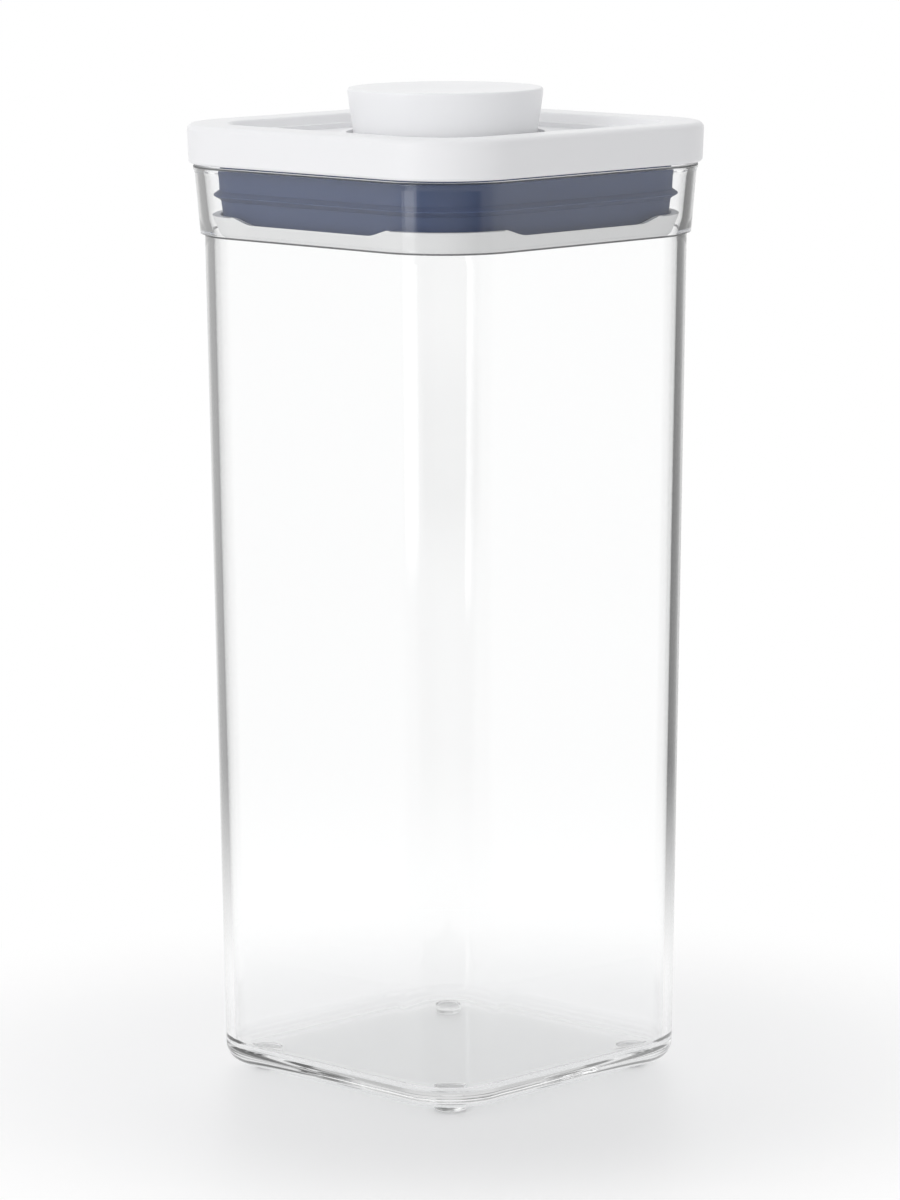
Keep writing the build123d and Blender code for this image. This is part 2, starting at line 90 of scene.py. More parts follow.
def startMaterial(name):
    material = bpy.data.materials.new(name)
    material.use_nodes = True
    material.node_tree.nodes.clear()
    return material, material.node_tree.nodes, material.node_tree.links


def addNode(nodes, kind, **values):
    node = nodes.new(kind)
    for key, value in values.items():
        if hasattr(node, key):
            setattr(node, key, value)
        else:
            node.inputs[key.replace("_", " ")].default_value = value
    return node


def rgb(red, green, blue):
    return (red, green, blue, 1.0)


def multiplyAdd(nodes, links, value, factor, addend):
    step = addNode(nodes, "ShaderNodeMath", operation="MULTIPLY_ADD")
    links.new(value, step.inputs[0])
    step.inputs[1].default_value = factor
    step.inputs[2].default_value = addend
    return step.outputs["Value"]


def scaled(nodes, links, value, factor):
    return multiplyAdd(nodes, links, value, factor, 0)


def combine(nodes, links, operation, first, second):
    step = addNode(nodes, "ShaderNodeMath", operation=operation)
    links.new(first, step.inputs[0])
    links.new(second, step.inputs[1])
    return step.outputs["Value"]


# 0 before the first edge and 1 past the second, whichever of them is higher
def rangeMask(nodes, links, value, edges):
    mask = addNode(nodes, "ShaderNodeMapRange", interpolation_type="SMOOTHSTEP",
                   From_Min=edges[0], From_Max=edges[1])
    links.new(value, mask.inputs["Value"])
    return mask.outputs["Result"]


# a direction or place without its height
def levelPart(nodes, links, vector):
    level = addNode(nodes, "ShaderNodeVectorMath", operation="MULTIPLY")
    level.inputs[1].default_value = (1, 1, 0)
    links.new(vector, level.inputs[0])
    return level.outputs["Vector"]


reflectionLimit = 2.5


# 1 for a ray that has been reflected too often inside the plastic, and is let out of it
def caughtMask(nodes, links, ray):
    caught = addNode(nodes, "ShaderNodeMath", operation="GREATER_THAN")
    caught.inputs[1].default_value = reflectionLimit
    links.new(ray.outputs["Glossy Depth"], caught.inputs[0])
    return caught.outputs["Value"]


# fine moulded surface, shared by every plastic and the silicone
def buildMouldedSurface():
    group = bpy.data.node_groups.new("mouldedSurface", "ShaderNodeTree")
    face = group.interface
    for name, kind, value in (
        ("Colour", "NodeSocketColor", rgb(0.8, 0.8, 0.8)),
        ("Deep Colour", "NodeSocketColor", rgb(0.7, 0.7, 0.7)),
        ("Grain Scale", "NodeSocketFloat", 1800.0),
        ("Cloud Scale", "NodeSocketFloat", 30.0),
        ("Low Roughness", "NodeSocketFloat", 0.3),
        ("High Roughness", "NodeSocketFloat", 0.45),
    ):
        socket = face.new_socket(name, in_out="INPUT", socket_type=kind)
        socket.default_value = value
    face.new_socket("Colour", in_out="OUTPUT", socket_type="NodeSocketColor")
    face.new_socket("Roughness", in_out="OUTPUT", socket_type="NodeSocketFloat")
    face.new_socket("Height", in_out="OUTPUT", socket_type="NodeSocketFloat")
    nodes, links = group.nodes, group.links
    inside = nodes.new("NodeGroupInput")
    outside = nodes.new("NodeGroupOutput")
    place = nodes.new("ShaderNodeTexCoord")
    grain = addNode(nodes, "ShaderNodeTexNoise", Detail=4.0, Roughness=0.6)
    cloud = addNode(nodes, "ShaderNodeTexNoise", Detail=3.0, Roughness=0.5)
    links.new(place.outputs["Object"], grain.inputs["Vector"])
    links.new(place.outputs["Object"], cloud.inputs["Vector"])
    links.new(inside.outputs["Grain Scale"], grain.inputs["Scale"])
    links.new(inside.outputs["Cloud Scale"], cloud.inputs["Scale"])
    spread = addNode(nodes, "ShaderNodeMapRange", From_Min=0.3, From_Max=0.7)
    links.new(cloud.outputs["Fac"], spread.inputs["Value"])
    links.new(inside.outputs["Low Roughness"], spread.inputs["To Min"])
    links.new(inside.outputs["High Roughness"], spread.inputs["To Max"])
    tint = addNode(nodes, "ShaderNodeMix", data_type="RGBA")
    links.new(cloud.outputs["Fac"], tint.inputs[0])
    links.new(inside.outputs["Colour"], tint.inputs[6])
    links.new(inside.outputs["Deep Colour"], tint.inputs[7])
    links.new(tint.outputs[2], outside.inputs["Colour"])
    links.new(spread.outputs["Result"], outside.inputs["Roughness"])
    links.new(grain.outputs["Fac"], outside.inputs["Height"])
    return group


mouldedSurface = buildMouldedSurface()
bumpDepth = 0.0001


# the surface's height goes to the shader here, and its colour and roughness are left to the material
def addSurface(nodes, links, shader, look):
    surface = nodes.new("ShaderNodeGroup")
    surface.node_tree = mouldedSurface
    surface.inputs["Grain Scale"].default_value = look["grain"]
    surface.inputs["Cloud Scale"].default_value = look["cloud"]
    surface.inputs["Low Roughness"].default_value = look["roughness"][0]
    surface.inputs["High Roughness"].default_value = look["roughness"][1]
    bump = addNode(nodes, "ShaderNodeBump", Strength=look["bump"], Distance=bumpDepth)
    links.new(surface.outputs["Height"], bump.inputs["Height"])
    links.new(bump.outputs["Normal"], shader.inputs["Normal"])
    return surface


def mouldedMaterial(name, look):
    material, nodes, links = startMaterial(name)
    shader = nodes.new("ShaderNodeBsdfPrincipled")
    surface = addSurface(nodes, links, shader, look)
    surface.inputs["Colour"].default_value = rgb(*look["colour"])
    surface.inputs["Deep Colour"].default_value = rgb(*look["deepColour"])
    shader.inputs["IOR"].default_value = look.get("ior", 1.5)
    shader.inputs["Metallic"].default_value = look.get("metallic", 0.0)
    shader.inputs["Specular IOR Level"].default_value = look.get("specular", 0.5)
    shader.inputs["Sheen Weight"].default_value = look.get("sheen", 0.0)
    output = nodes.new("ShaderNodeOutputMaterial")
    links.new(surface.outputs["Colour"], shader.inputs["Base Color"])
    links.new(surface.outputs["Roughness"], shader.inputs["Roughness"])
    links.new(shader.outputs["BSDF"], output.inputs["Surface"])
    return material


finishes = {
    "lidWhite": {"colour": (0.90, 0.90, 0.912), "deepColour": (0.875, 0.876, 0.89), "grain": 2600.0,
                 "cloud": 28.0, "roughness": (0.30, 0.38), "bump": 0.12},
    # the button is a lighter copy of the lid's white: painted light for the light that the lid top
    # bounces onto it
    "buttonLitWhite": {"colour": (0.93, 0.933, 0.945), "deepColour": (0.91, 0.912, 0.925), "grain": 2600.0,
                    "cloud": 28.0, "roughness": (0.30, 0.38), "bump": 0.10},
    "trayWhite": {"colour": (0.85, 0.85, 0.847), "deepColour": (0.82, 0.82, 0.817), "grain": 2200.0,
                  "cloud": 35.0, "roughness": (0.40, 0.52), "bump": 0.18},
    "acetal": {"colour": (0.86, 0.87, 0.865), "deepColour": (0.82, 0.83, 0.83), "grain": 1800.0,
               "cloud": 40.0, "roughness": (0.42, 0.55), "bump": 0.25},
    "sealSilicone": {"colour": (0.060, 0.090, 0.185), "deepColour": (0.055, 0.082, 0.172),
                     "grain": 1500.0, "cloud": 45.0, "roughness": (0.50, 0.60), "bump": 0.06,
                     "ior": 1.42, "specular": 0.35, "sheen": 0.03},
    "springSteel": {"colour": (0.62, 0.61, 0.60), "deepColour": (0.50, 0.49, 0.48), "grain": 3000.0,
                    "cloud": 60.0, "roughness": (0.22, 0.35), "bump": 0.15, "metallic": 1.0},
}

materials = {name: mouldedMaterial(name, look) for name, look in finishes.items()}

clearLook = {
    "colour": (0.993, 0.995, 0.995),
    # the plastic is painted greyer at grazing angles: partly the longer path through it, mostly painted
    # shade for the darker surroundings that its edges refract
    "grazingShadeColour": (0.80, 0.81, 0.82),
    "edgeStart": 0.62,
    "roughness": (0.01, 0.025),
    "grain": 60.0,
    "cloud": 20.0,
    "bump": 0.02,
    "ior": 1.49,
    "shadowColour": (0.975, 0.978, 0.978),
    "paintedShadeColour": (0.03, 0.03, 0.032),
    "downSlope": (-0.35, -0.55),
    "ledgeHeight": (0.205, 0.208),           # underside of the ledge, left matt by the mould and painted dark: a painted shade line
    "ledgeRoughness": 0.35,
    "rimHeight": (0.2294, 0.2297),           # top edge of the rim
    "rimRoughness": 0.45,
    "rimCornerHeight": (0.22955, 0.22975),   # its outer corner is painted as a fine dark line: painted shade from the lid above
    "rimCornerOutward": (0.010, 0.022),
    "rimShadeShare": 0.92,
    # the ends of the feet are painted greyer: painted contact shade where they stand on the floor
    "footEndHeight": (0.0009, 0.0003),
    "footContactShadeShare": 0.45,
    "footTop": (0.0021, 0.0017),             # the feet below it cast a deeper shadow
    "footShadow": (0.62, 0.615, 0.62),
}


# painted shade and roughness of the clear plastic: painted shade lines at the ledge and the rim's outer
# corner, painted contact shade on the ends of the feet, and matt roughness at the ledge and the rim's
# top
def mattAndShadeMasks(nodes, links, look):
    place = nodes.new("ShaderNodeTexCoord")
    height = nodes.new("ShaderNodeSeparateXYZ")
    slope = nodes.new("ShaderNodeSeparateXYZ")
    outward = addNode(nodes, "ShaderNodeVectorMath", operation="DOT_PRODUCT")
    links.new(place.outputs["Object"], height.inputs["Vector"])
    links.new(place.outputs["Normal"], slope.inputs["Vector"])
    links.new(levelPart(nodes, links, place.outputs["Object"]), outward.inputs[0])
    links.new(place.outputs["Normal"], outward.inputs[1])

    def heightMask(name):
        return rangeMask(nodes, links, height.outputs["Z"], look[name])

    facingDown = rangeMask(nodes, links, slope.outputs["Z"], look["downSlope"])
    facingOut = rangeMask(nodes, links, outward.outputs["Value"], look["rimCornerOutward"])
    ledge = combine(nodes, links, "MULTIPLY", heightMask("ledgeHeight"), facingDown)
    corner = combine(nodes, links, "MULTIPLY", heightMask("rimCornerHeight"), facingOut)
    footEnd = combine(nodes, links, "MULTIPLY", heightMask("footEndHeight"), facingDown)
    dark = combine(nodes, links, "MAXIMUM", scaled(nodes, links, corner, look["rimShadeShare"]),
                   scaled(nodes, links, footEnd, look["footContactShadeShare"]))
    rough = combine(nodes, links, "MAXIMUM", scaled(nodes, links, ledge, look["ledgeRoughness"]),
                    scaled(nodes, links, heightMask("rimHeight"), look["rimRoughness"]))
    return combine(nodes, links, "MAXIMUM", ledge, dark), rough


# light passes straight through the walls, and less of it through the feet
def addPassing(nodes, links, look):
    place = nodes.new("ShaderNodeTexCoord")
    height = nodes.new("ShaderNodeSeparateXYZ")
    shade = addNode(nodes, "ShaderNodeMix", data_type="RGBA")
    shade.inputs[6].default_value = rgb(*look["shadowColour"])
    shade.inputs[7].default_value = rgb(*look["footShadow"])
    passing = nodes.new("ShaderNodeBsdfTransparent")
    links.new(place.outputs["Object"], height.inputs["Vector"])
    links.new(rangeMask(nodes, links, height.outputs["Z"], look["footTop"]), shade.inputs[0])
    links.new(shade.outputs[2], passing.inputs["Color"])
    return passing.outputs["BSDF"]


def clearMaterial(name, look):
    material, nodes, links = startMaterial(name)
    shader = nodes.new("ShaderNodeBsdfPrincipled")
    shader.inputs["IOR"].default_value = look["ior"]
    shader.inputs["Transmission Weight"].default_value = 1.0
    surface = addSurface(nodes, links, shader, look)
    # painted edge shade: the colour turns greyer as the surface is seen more edge-on
    facing = addNode(nodes, "ShaderNodeLayerWeight", Blend=0.5)
    edge = nodes.new("ShaderNodeValToRGB")
    edge.color_ramp.elements[0].position = look["edgeStart"]
    edge.color_ramp.elements[0].color = rgb(*look["colour"])
    edge.color_ramp.elements[1].position = 1.0
    edge.color_ramp.elements[1].color = rgb(*look["grazingShadeColour"])
    # painted shade lines and painted contact shade are mixed into the colour here
    tint = addNode(nodes, "ShaderNodeMix", data_type="RGBA")
    tint.inputs[7].default_value = rgb(*look["paintedShadeColour"])
    dark, rough = mattAndShadeMasks(nodes, links, look)
    rough = combine(nodes, links, "MAXIMUM", surface.outputs["Roughness"], rough)
    links.new(facing.outputs["Facing"], edge.inputs["Fac"])
    links.new(dark, tint.inputs[0])
    links.new(edge.outputs["Color"], tint.inputs[6])
    links.new(tint.outputs[2], shader.inputs["Base Color"])
    links.new(rough, shader.inputs["Roughness"])

    # what lights other things goes straight through the plastic
    ray = nodes.new("ShaderNodeLightPath")
    shadow, diffuse = ray.outputs["Is Shadow Ray"], ray.outputs["Is Diffuse Ray"]
    straight = combine(nodes, links, "MAXIMUM", shadow, diffuse)
    straight = combine(nodes, links, "MAXIMUM", straight, caughtMask(nodes, links, ray))
    mix = nodes.new("ShaderNodeMixShader")
    output = nodes.new("ShaderNodeOutputMaterial")
    links.new(straight, mix.inputs["Fac"])
    links.new(shader.outputs["BSDF"], mix.inputs[1])
    links.new(addPassing(nodes, links, look), mix.inputs[2])
    links.new(mix.outputs["Shader"], output.inputs["Surface"])
    return material


materials["clearPlastic"] = clearMaterial("clearPlastic", clearLook)
print("materials ready:", len(materials))


# rounded square outlines are stacked, joined and rounded
flatShare = 0.1         # an edge longer than this share of a ring's side is one of its four flats
ringSpacing = 20
wideRounding = 2.0      # from here on a rounding gets twice the segments
mergeDistance = 0.000001
sharpAngle = 38


def squareRing(mesh, side, corner, height, bends, cuts):
    before = set(mesh.edges)
    made = bmesh.ops.create_grid(mesh, x_segments=1, y_segments=1, size=side * mm / 2,
                                 matrix=Matrix.Translation((0, 0, height * mm)))
    bmesh.ops.bevel(mesh, geom=made["verts"], offset=corner * mm, offset_type="OFFSET", segments=bends,
                    profile=0.5, affect="VERTICES", material=-1, clamp_overlap=False)
    added = [edge for edge in mesh.edges if edge not in before]
    faces = {face for edge in added for face in edge.link_faces}
    bmesh.ops.delete(mesh, geom=list(faces), context="FACES_ONLY")
    flats = [edge for edge in added if edge.calc_length() > side * mm * flatShare]
    bmesh.ops.subdivide_edges(mesh, edges=flats, cuts=cuts)
    return [edge for edge in mesh.edges if edge not in before]


def footRing(mesh, diameter, height, steps, centre):
    place = Matrix.Translation((centre[0] * mm, centre[1] * mm, height * mm))
    made = bmesh.ops.create_circle(mesh, cap_ends=False, segments=steps, radius=diameter * mm / 2,
                                   matrix=place)
    return list({edge for point in made["verts"] for edge in point.link_edges})


# a round outline whose points stand opposite those of the square outline beside it
def roundRing(mesh, diameter, square, height, bends, cuts):
    loop = squareRing(mesh, *square, height, bends, cuts)
    for point in {point for edge in loop for point in edge.verts}:
        point.co.xy = point.co.xy.normalized() * diameter * mm / 2
    return loop


# each ring is (side, corner radius, height, rounding), and a round one has None for its corner
def stackRings(mesh, rings, bends=16, cuts=23, closed=False):
    loops = []
    for step, (side, corner, _, _) in enumerate(rings):
        apart = ringSpacing * step  # two rings at one height can join crosswise, so they start apart
        if corner is None:
            loops.append(roundRing(mesh, side, square, apart, bends, cuts))
        else:
            square = (side, corner)
            loops.append(squareRing(mesh, side, corner, apart, bends, cuts))
    for low, high in zip(loops, loops[1:]):
        bmesh.ops.bridge_loops(mesh, edges=low + high)
    if closed:
        bmesh.ops.bridge_loops(mesh, edges=loops[-1] + loops[0])
    for loop, ring in zip(loops, rings):
        for point in {point for edge in loop for point in edge.verts}:
            point.co.z = ring[2] * mm
    return loops


def roundLoops(mesh, loops, rings, segments=4):
    for loop, ring in zip(loops, rings):
        if ring[3]:
            count = segments if ring[3] < wideRounding else 2 * segments
            bmesh.ops.bevel(mesh, geom=loop, offset=ring[3] * mm, offset_type="OFFSET", segments=count,
                            profile=0.5, affect="EDGES", material=-1, clamp_overlap=False,
                            loop_slide=True)


# stands names the nodes that the piece stands for
def finishPiece(name, mesh, material, stands):
    bmesh.ops.remove_doubles(mesh, verts=mesh.verts, dist=mergeDistance)
    bmesh.ops.recalc_face_normals(mesh, faces=mesh.faces)
    data = bpy.data.meshes.new(name)
    mesh.to_mesh(data)
    mesh.free()
    data.shade_smooth()
    data.set_sharp_from_angle(angle=radians(sharpAngle))
    data.materials.append(materials[material])
    piece = bpy.data.objects.new(name, data)
    collection.objects.link(piece)
    weighted = piece.modifiers.new("evenNormals", "WEIGHTED_NORMAL")
    weighted.keep_sharp = True
    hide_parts(*stands)
    return piece


# clear canister, with its floor, rim and moulded feet in one wall
canister = {
    "outside": (
        (80.0, 12.2, 2.3, 0),
        (90.4, 17.4, 2.3, 4.5),
        (97.0, 20.7, 212.6, 0),
        (97.75, 20.5, 213.0, 0),
        (98.35, 20.35, 213.08, 0.1),
        (100.45, 20.92, 228.0, 0),
        (100.9, 21.08, 228.7, 0),
        (101.2, 21.2, 229.2, 0.15),
        (101.2, 21.2, 230.05, 0.3),
        (96.2, 18.7, 230.05, 0.6),
        (94.2, 18.2, 217.2, 0),
        (93.7, 18.15, 215.0, 0),
        (92.8, 18.25, 212.2, 0),
        (92.25, 18.25, 209.5, 0),
        (85.93, 15.16, 6.3, 3.0),
    ),
    "footSpread": 64.6,
    "footDiameter": 8.0,
    "footHeight": 2.3,
    "footRounding": 0.8,
    "footSteps": 48,
    "footBends": 5,
}


def buildCanister(look):
    mesh = bmesh.new()
    rings = look["outside"]
    loops = stackRings(mesh, rings)
    bmesh.ops.contextual_create(mesh, geom=loops[-1])
    half = look["footSpread"] / 2
    tops, ends = [], []
    for x in (-half, half):
        for y in (-half, half):
            top = footRing(mesh, look["footDiameter"], look["footHeight"], look["footSteps"], (x, y))
            end = footRing(mesh, look["footDiameter"], 0, look["footSteps"], (x, y))
            bmesh.ops.bridge_loops(mesh, edges=top + end)
            bmesh.ops.contextual_create(mesh, geom=end)
            tops += top
            ends += end
    bmesh.ops.triangle_fill(mesh, edges=loops[0] + tops, use_beauty=True, normal=(0, 0, -1))
    bmesh.ops.bevel(mesh, geom=ends, offset=look["footRounding"] * mm, offset_type="OFFSET",
                    segments=look["footBends"], profile=0.5, affect="EDGES", material=-1,
                    clamp_overlap=False)
    roundLoops(mesh, loops, rings)
    piece = finishPiece("canisterWall", mesh, "clearPlastic", ["container_body"])
    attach(piece, "container")


buildCanister(canister)
print("canister built")


# lid cover: outer wall, border, stepped recess and the low collar round the button
lidCover = {
    "rings": (
        (102.7, 21.1, 230.5, 0.9),
        (103.49, 21.5, 240.5, 1.8),
        (84.5, 14.0, 240.35, 0.5),
        (83.3, 13.4, 238.9, 0.8),
        (82.5, 13.0, 238.1, 0.12),
        (80.3, 11.9, 238.1, 0.12),
        (80.3, 11.9, 236.8, 0.25),
        (57.4, None, 236.8, 0.8),
        (51.6, None, 238.1, 0.3),
        (49.2, None, 238.1, 0.25),
        (49.0, None, 236.3, 0.15),
        (48.2, None, 236.1, 0.15),
        (48.2, None, 232.2, 0),
        (53.0, None, 232.2, 0),
        (53.0, None, 235.0, 0),
        (99.1, 19.3, 235.0, 0),
        (99.1, 19.3, 230.5, 0.3),
    ),
}


def buildLidCover(look):
    mesh = bmesh.new()
    loops = stackRings(mesh, look["rings"], closed=True)
    roundLoops(mesh, loops, look["rings"])
    piece = finishPiece("lidTop", mesh, "lidWhite", ["lid_cover"])
    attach(piece, "lid")


buildLidCover(lidCover)


# button, turned from its outline
buttonCap = {
    "outline": (
        (0, 248.5), (8, 248.55), (16, 248.72), (21, 248.88), (24.4, 248.98),
        (24.22, 247.2), (23.98, 245.5), (23.72, 243.5), (23.4, 241.5), (23.05, 239.5),
        (22.8, 235.5), (22.6, 230.6), (21.0, 230.6), (21.2, 235.5), (21.45, 239.5),
        (22.6, 246.7), (0, 246.7),
    ),
    "topEdge": 4,        # the outline's point at the top's edge
    "edgeRadius": 0.7,
    "edgeBends": 6,
    "steps": 192,
}


def buildButton(look):
    mesh = bmesh.new()
    points = [mesh.verts.new((x * mm, 0, z * mm)) for x, z in look["outline"]]
    for start, end in zip(points, points[1:]):
        mesh.edges.new((start, end))
    bmesh.ops.bevel(mesh, geom=[points[look["topEdge"]]], offset=look["edgeRadius"] * mm,
                    offset_type="OFFSET", segments=look["edgeBends"], profile=0.5, affect="VERTICES",
                    material=-1, clamp_overlap=False)
    bmesh.ops.spin(mesh, geom=mesh.verts[:] + mesh.edges[:], cent=(0, 0, 0), axis=(0, 0, 1),
                   dvec=(0, 0, 0), angle=2 * pi, steps=look["steps"], use_merge=True,
                   use_normal_flip=False, use_duplicate=False)
    piece = finishPiece("pushButton", mesh, "buttonLitWhite", ["button_cap"])
    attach(piece, "button")


buildButton(buttonCap)
print("lid cover and button built")


# tray under the lid, whose lip dips in the middle of each side
tray = {
    "rings": (
        (92.8, 18.15, 217.9, 0.4),
        (89.0, 16.3, 212.2, 1.2),
        (24.8, None, 212.2, 0.4),
        (24.8, None, 207.6, 0),
        (20.8, None, 207.6, 0),
        (20.8, None, 213.9, 0),
        (87.2, 15.35, 213.9, 0.5),
        (88.0, 15.75, 217.9, 0.35),
    ),
    "cuts": 47,
    "lipTop": 217.9,
    "lipFoot": 214.6,
    "lipReach": 40.0,    # the hub's edges lie nearer than this and keep their height
    "dipDepth": 1.85,
    "dipHalf": 20.2,
    "dipSlope": 8.6,
}


def smoothStep(value):
    value = min(max(value, 0.0), 1.0)
    return value * value * (3 - 2 * value)


def buildTray(look):
    mesh = bmesh.new()
    loops = stackRings(mesh, look["rings"], cuts=look["cuts"], closed=True)
    roundLoops(mesh, loops, look["rings"])
    for point in mesh.verts:
        along = min(abs(point.co.x), abs(point.co.y)) / mm
        reach = max(abs(point.co.x), abs(point.co.y)) / mm
        lift = (point.co.z / mm - look["lipFoot"]) / (look["lipTop"] - look["lipFoot"])
        if lift > 0 and reach > look["lipReach"]:
            dip = 1 - smoothStep((along - look["dipHalf"]) / look["dipSlope"])
            point.co.z -= look["dipDepth"] * dip * min(lift, 1.0) * mm
    piece = finishPiece("lidTray", mesh, "trayWhite", ["lid_base"])
    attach(piece, "lid")


buildTray(tray)


# silicone seal: one ring cut into eight lengths
seal = {
    "rings": (
        (85.4, 14.7, 214.3, 0.4),
        (87.7, 15.85, 221.45, 0.12),
        (92.3, 18.15, 222.7, 0.05),
        (92.3, 18.15, 222.9, 0.05),
        (88.7, 16.35, 223.9, 0.12),
        (89.1, 16.55, 230.2, 0),
        (84.0, 14.0, 230.2, 0),
        (84.0, 14.0, 214.3, 0),
    ),
    "cornerStart": 28.0,   # where the flat of a side ends
    "pressedHalf": 20.0,   # half the width that a pusher moves
    "blendReach": 44.4,
    "blendLevel": 222.2,
}
sides = ("right", "back", "left", "front")


def keepBeyond(mesh, place, direction):
    everything = mesh.verts[:] + mesh.edges[:] + mesh.faces[:]
    cut = bmesh.ops.bisect_plane(mesh, geom=everything, plane_co=place, plane_no=direction,
                                 clear_inner=True)
    edges = [item for item in cut["geom_cut"] if isinstance(item, bmesh.types.BMEdge)]
    bmesh.ops.edgeloop_fill(mesh, edges=edges)


def buildSeal(look):
    whole = bmesh.new()
    loops = stackRings(whole, look["rings"], closed=True)
    roundLoops(whole, loops, look["rings"], segments=3)
    bmesh.ops.recalc_face_normals(whole, faces=whole.faces)
    flatEnd = look["cornerStart"] * mm
    pressed = look["pressedHalf"] * mm
    reach = look["blendReach"] * mm
    cornerCuts = (((flatEnd, 0, 0), (1, 0, 0)), ((0, 0, 0), (0, 1, 0)))
    flatCuts = (((0, 0, 0), (1, 0, 0)), ((flatEnd, 0, 0), (-1, 0, 0)), ((0, 0, 0), (0, 1, 0)))
    for turn in range(4):
        spin = Matrix.Rotation(turn * pi / 2, 4, "Z")
        for kind, cuts, side, start, end in (
            ("Corner", cornerCuts, turn, (reach, flatEnd), (reach, pressed)),
            ("Flat", flatCuts, turn + 1, (flatEnd, reach), (pressed, reach)),
        ):
            mesh = whole.copy()
            for place, direction in cuts:
                keepBeyond(mesh, place, direction)
            bmesh.ops.rotate(mesh, cent=(0, 0, 0), matrix=spin.to_3x3(), verts=mesh.verts)
            name = "seal" + kind + sides[turn].title()
            piece = finishPiece(name, mesh, "sealSilicone", ["gasket"])
            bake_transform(piece)
    whole.free()


buildSeal(seal)
print("tray and seal built")


# return spring
spring = {
    "radius": 4.6,
    "wire": 1.0,
    "turns": 7.5,
    "low": 208.15,
    "high": 229.95,
    "foot": 207.6,
    "travel": 8.5,
    "wireSteps": 10,
    "turnSteps": 40,
}


def buildSpring(look):
    mesh = bmesh.new()
    start = Matrix.Translation((look["radius"] * mm, 0, look["low"] * mm))
    made = bmesh.ops.create_circle(mesh, cap_ends=True, segments=look["wireSteps"],
                                   radius=look["wire"] * mm / 2,
                                   matrix=start @ Matrix.Rotation(pi / 2, 4, "X"))
    steps = int(look["turns"] * look["turnSteps"])
    rise = (look["high"] - look["low"]) * mm / steps
    ring = made["verts"][0].link_faces[0]
    bmesh.ops.spin(mesh, geom=[ring], cent=(0, 0, 0), axis=(0, 0, 1), dvec=(0, 0, rise),
                   angle=2 * pi * look["turns"], steps=steps, use_merge=False, use_duplicate=False)
    piece = finishPiece("returnCoil", mesh, "springSteel", ["return_spring"])
    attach(piece, "lid")
    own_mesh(piece)


buildSpring(spring)


# CAD nodes whose shape is right get their finish
nodeFinishes = {
    "hub_cover": "trayWhite",
    "lid_frame": "lidWhite",
    "latch_sleeve": "acetal",
    "latch_barrel": "acetal",
    "button_plunger": "acetal",
    "seal_pusher_front": "acetal",
    "seal_pusher_right": "acetal",
    "seal_pusher_back": "acetal",
    "seal_pusher_left": "acetal",
}
for name, finish in nodeFinishes.items():
    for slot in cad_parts[name].material_slots:
        slot.material = materials[finish]
print("inner pieces finished:", len(nodeFinishes))


# the studio is a light tent, open in front; directions are level, and distances lie on the floor
studioLook = {
    "front": (0.755, -0.656, 0.0),    # the open side
    "frontEdge": (0.70, 0.82),
    "frontDistance": (0.78, 1.00),
    "farDistance": (1.15, 1.50),
    "frontLevels": (0.0, 0.80),       # near and far
    "panel": (-0.122, -0.9925, 0.0),  # brighter panel left of the opening
    "panelEdge": (0.984, 0.991),
    "panelDistance": (0.70, 0.90),
    "panelGain": 1.30,
    "side": (0.707, 0.707, 0.0),      # the sides and back stay bright inside the plastic
    "sideEdge": (0.86, 0.97),
    "back": (-0.707, 0.707, 0.0),
    "backEdge": (0.91, 0.98),
    "backShare": 0.72,
    "insideLevels": (0.28, 0.85),     # darkest and brightest
    "insideDistance": (0.10, 0.45),
    "shade": (0.707, 0.707, 0.0),     # the right side takes some of the light away
    "shadeEdge": (0.10, 0.60),
    "shadeShare": -0.17,
    "throughGain": 0.03,
}


def sectorMask(nodes, links, heading, name, both=False):
    match = addNode(nodes, "ShaderNodeVectorMath", operation="DOT_PRODUCT")
    match.inputs[1].default_value = studioLook[name]
    links.new(heading, match.inputs[0])
    value = match.outputs["Value"]
    if both:
        value = combine(nodes, links, "MAXIMUM", value, scaled(nodes, links, value, -1))
    return rangeMask(nodes, links, value, studioLook[name + "Edge"])


# the tent's open front is dim when mirrored, and the panel beside it bright
def frontChange(nodes, links, heading, panel, distance):
    openFront = sectorMask(nodes, links, heading, "front")
    nearLevel, farLevel = studioLook["frontLevels"]
    if distance is None:
        change = scaled(nodes, links, openFront, farLevel - 1)
    else:
        near = rangeMask(nodes, links, distance, studioLook["frontDistance"])
        far = rangeMask(nodes, links, distance, studioLook["farDistance"])
        change = multiplyAdd(nodes, links, far, farLevel - nearLevel, nearLevel - 1)
        near = combine(nodes, links, "MULTIPLY", openFront, near)
        change = combine(nodes, links, "MULTIPLY", near, change)
    gain = scaled(nodes, links, panel, studioLook["panelGain"])
    return combine(nodes, links, "ADD", change, gain)


# light that turns about inside the plastic comes from a dimmer tent, with brighter sides and back
def insideChange(nodes, links, heading, panel):
    side = sectorMask(nodes, links, heading, "side", both=True)
    back = scaled(nodes, links, sectorMask(nodes, links, heading, "back"), studioLook["backShare"])
    bright = combine(nodes, links, "MAXIMUM", side, panel)
    bright = combine(nodes, links, "MAXIMUM", back, bright)
    darkest, brightest = studioLook["insideLevels"]
    level = multiplyAdd(nodes, links, bright, brightest - darkest, darkest - 1)
    shade = scaled(nodes, links, sectorMask(nodes, links, heading, "shade"), studioLook["shadeShare"])
    return combine(nodes, links, "ADD", level, shade)


